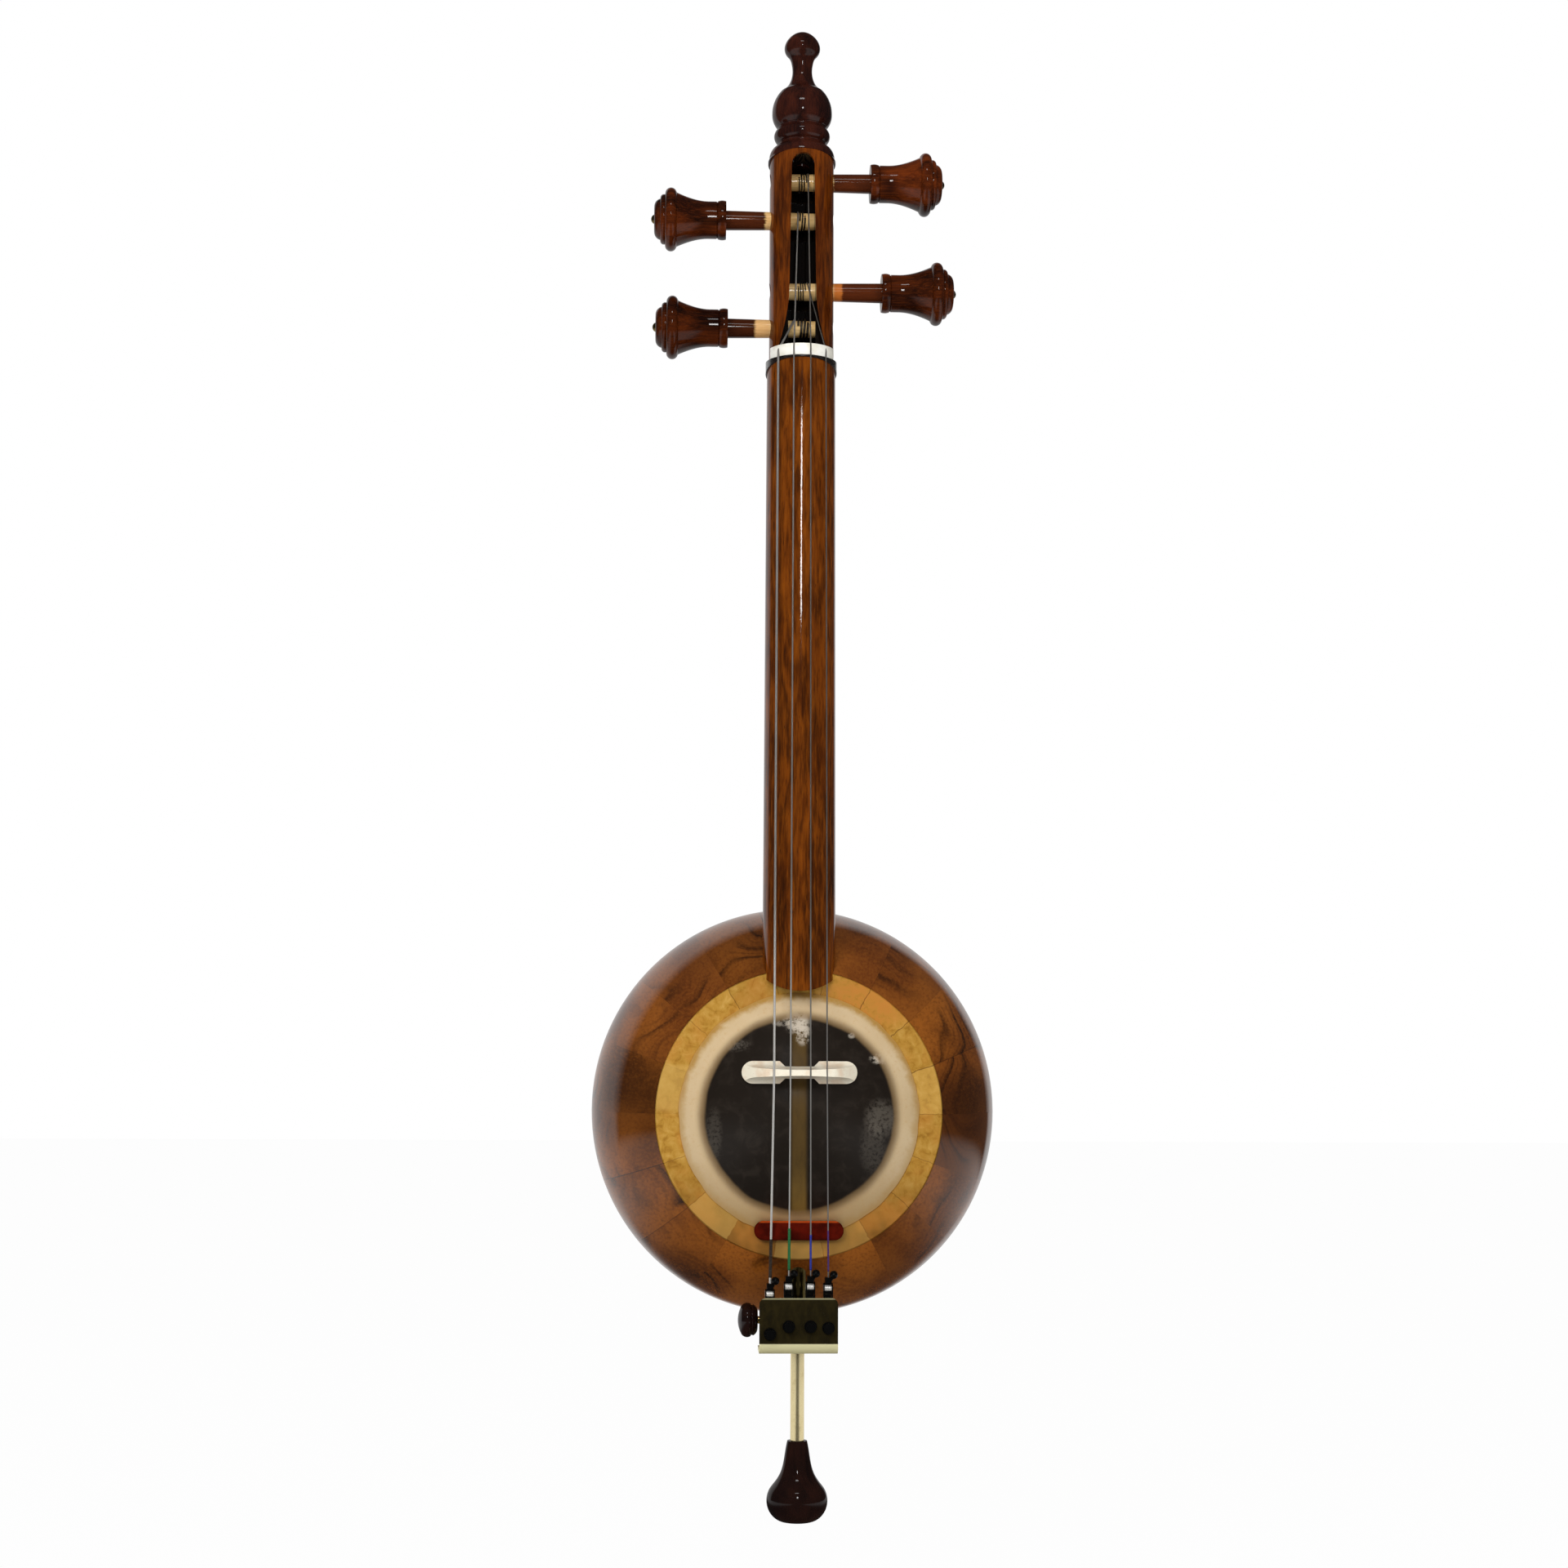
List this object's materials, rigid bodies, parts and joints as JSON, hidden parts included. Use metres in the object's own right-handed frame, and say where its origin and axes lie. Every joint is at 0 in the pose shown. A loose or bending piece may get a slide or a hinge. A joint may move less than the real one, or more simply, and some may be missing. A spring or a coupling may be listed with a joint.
{
  "type": "kamancheh",
  "caption": "Bowed spike fiddle with a round stave bowl, skin face, turned neck, open pegbox with side pegs, bone bridge, brass tail with fine tuners and a sliding spike.",
  "frame": {"origin": "centre of the small flat under the spike's foot, with the spike as pictured", "axes": "+Z along the spike, tube and neck towards the finial, -Y out of the skin and strings, +X towards the right-hand pegs in the picture"},
  "size_m": [0.198, 0.1887, 0.7128],
  "materials": {
    "walnut_staves": "gloss",
    "walnut_neck": "gloss",
    "rosewood": "gloss",
    "pale_wood": "satin",
    "bone_ring": "satin",
    "skin": "satin",
    "bone": "satin",
    "red_felt": "matt",
    "black_horn": "gloss",
    "brass": "polished",
    "black_steel": "gloss",
    "chrome": "polished",
    "string_steel": "polished"
  },
  "bodies": {
    "root": {"bowl_staves": "walnut_staves", "back_cap": "walnut_staves", "mouth_rim": "pale_wood", "mouth_ring": "bone_ring", "skin": "skin", "neck": "walnut_neck", "inner_tube": "brass", "nut_ferrule": "black_horn", "nut": "bone", "pegbox": "walnut_neck", "finial": "rosewood", "bridge": "bone", "string_rest_pad": "red_felt", "tail_plate": "brass", "tail_block": "brass", "tuner_pivot_pins": "chrome", "tuner_ring_nuts": "black_steel", "tuner_frame_1": "black_steel", "tuner_frame_2": "black_steel", "tuner_frame_3": "black_steel", "tuner_frame_4": "black_steel", "string_1": "string_steel", "string_2": "string_steel", "string_3": "string_steel", "string_4": "string_steel"},
    "peg_1": {"peg_1": "rosewood", "peg_button_1": "brass", "winding_1": "string_steel"},
    "peg_2": {"peg_2": "rosewood", "peg_button_2": "brass", "winding_2": "string_steel"},
    "peg_3": {"peg_3": "rosewood", "peg_button_3": "brass", "winding_3": "string_steel"},
    "peg_4": {"peg_4": "rosewood", "peg_button_4": "brass", "winding_4": "string_steel"},
    "tuner_screw_1": {"tuner_screw_1": "black_steel"},
    "tuner_lever_1": {"tuner_lever_1": "black_steel"},
    "tuner_screw_2": {"tuner_screw_2": "black_steel"},
    "tuner_lever_2": {"tuner_lever_2": "black_steel"},
    "tuner_screw_3": {"tuner_screw_3": "black_steel"},
    "tuner_lever_3": {"tuner_lever_3": "black_steel"},
    "tuner_screw_4": {"tuner_screw_4": "black_steel"},
    "tuner_lever_4": {"tuner_lever_4": "black_steel"},
    "spike": {"spike_rod": "brass", "spike_foot": "rosewood"},
    "thumbscrew": {"thumb_screw": "brass", "thumb_knob": "rosewood"}
  },
  "joints": [
    {"name": "peg_1_turn", "type": "hinge", "parent": "root", "child": "peg_1", "pos_m": [-0.025, 0, 0.56408], "axis": [-1, 0, 0], "continuous": true},
    {"name": "peg_2_turn", "type": "hinge", "parent": "root", "child": "peg_2", "pos_m": [-0.025, 0, 0.61764], "axis": [-1, 0, 0], "continuous": true},
    {"name": "peg_3_turn", "type": "hinge", "parent": "root", "child": "peg_3", "pos_m": [0.025, 0, 0.63704], "axis": [1, 0, 0], "continuous": true},
    {"name": "peg_4_turn", "type": "hinge", "parent": "root", "child": "peg_4", "pos_m": [0.025, 0, 0.58259], "axis": [1, 0, 0], "continuous": true},
    {"name": "tuner_screw_1_turn", "type": "hinge", "parent": "root", "child": "tuner_screw_1", "pos_m": [-0.0133, -0.0145, 0.0866], "axis": [0, 1, 0], "range_deg": [0, 1080]},
    {"name": "tuner_lever_1_tilt", "type": "hinge", "parent": "root", "child": "tuner_lever_1", "pos_m": [-0.0133, -0.0083, 0.1045], "axis": [1, 0, 0], "range_deg": [0, 4.81], "deforming": ["string_1"]},
    {"name": "tuner_screw_2_turn", "type": "hinge", "parent": "root", "child": "tuner_screw_2", "pos_m": [-0.0046, -0.0145, 0.09], "axis": [0, 1, 0], "range_deg": [0, 1080]},
    {"name": "tuner_lever_2_tilt", "type": "hinge", "parent": "root", "child": "tuner_lever_2", "pos_m": [-0.0046, -0.0083, 0.1079], "axis": [1, 0, 0], "range_deg": [0, 4.81], "deforming": ["string_2"]},
    {"name": "tuner_screw_3_turn", "type": "hinge", "parent": "root", "child": "tuner_screw_3", "pos_m": [0.0055, -0.0145, 0.09], "axis": [0, 1, 0], "range_deg": [0, 1080]},
    {"name": "tuner_lever_3_tilt", "type": "hinge", "parent": "root", "child": "tuner_lever_3", "pos_m": [0.0055, -0.0083, 0.1079], "axis": [1, 0, 0], "range_deg": [0, 4.81], "deforming": ["string_3"]},
    {"name": "tuner_screw_4_turn", "type": "hinge", "parent": "root", "child": "tuner_screw_4", "pos_m": [0.0137, -0.0145, 0.0894], "axis": [0, 1, 0], "range_deg": [0, 1080]},
    {"name": "tuner_lever_4_tilt", "type": "hinge", "parent": "root", "child": "tuner_lever_4", "pos_m": [0.0137, -0.0083, 0.1073], "axis": [1, 0, 0], "range_deg": [0, 4.81], "deforming": ["string_4"]},
    {"name": "spike_slide", "type": "slide", "parent": "root", "child": "spike", "axis": [0, 0, 1], "range_m": [-0.06, 0.04]},
    {"name": "thumbscrew_turn", "type": "hinge", "parent": "root", "child": "thumbscrew", "pos_m": [-0.02, 0, 0.0918], "axis": [1, 0, 0], "continuous": true}
  ],
  "couplings": [
    {"joint": "tuner_lever_1_tilt", "follows": "tuner_screw_1_turn", "ratio": 0.0044509},
    {"joint": "tuner_lever_2_tilt", "follows": "tuner_screw_2_turn", "ratio": 0.0044509},
    {"joint": "tuner_lever_3_tilt", "follows": "tuner_screw_3_turn", "ratio": 0.0044509},
    {"joint": "tuner_lever_4_tilt", "follows": "tuner_screw_4_turn", "ratio": 0.0044509}
  ]
}
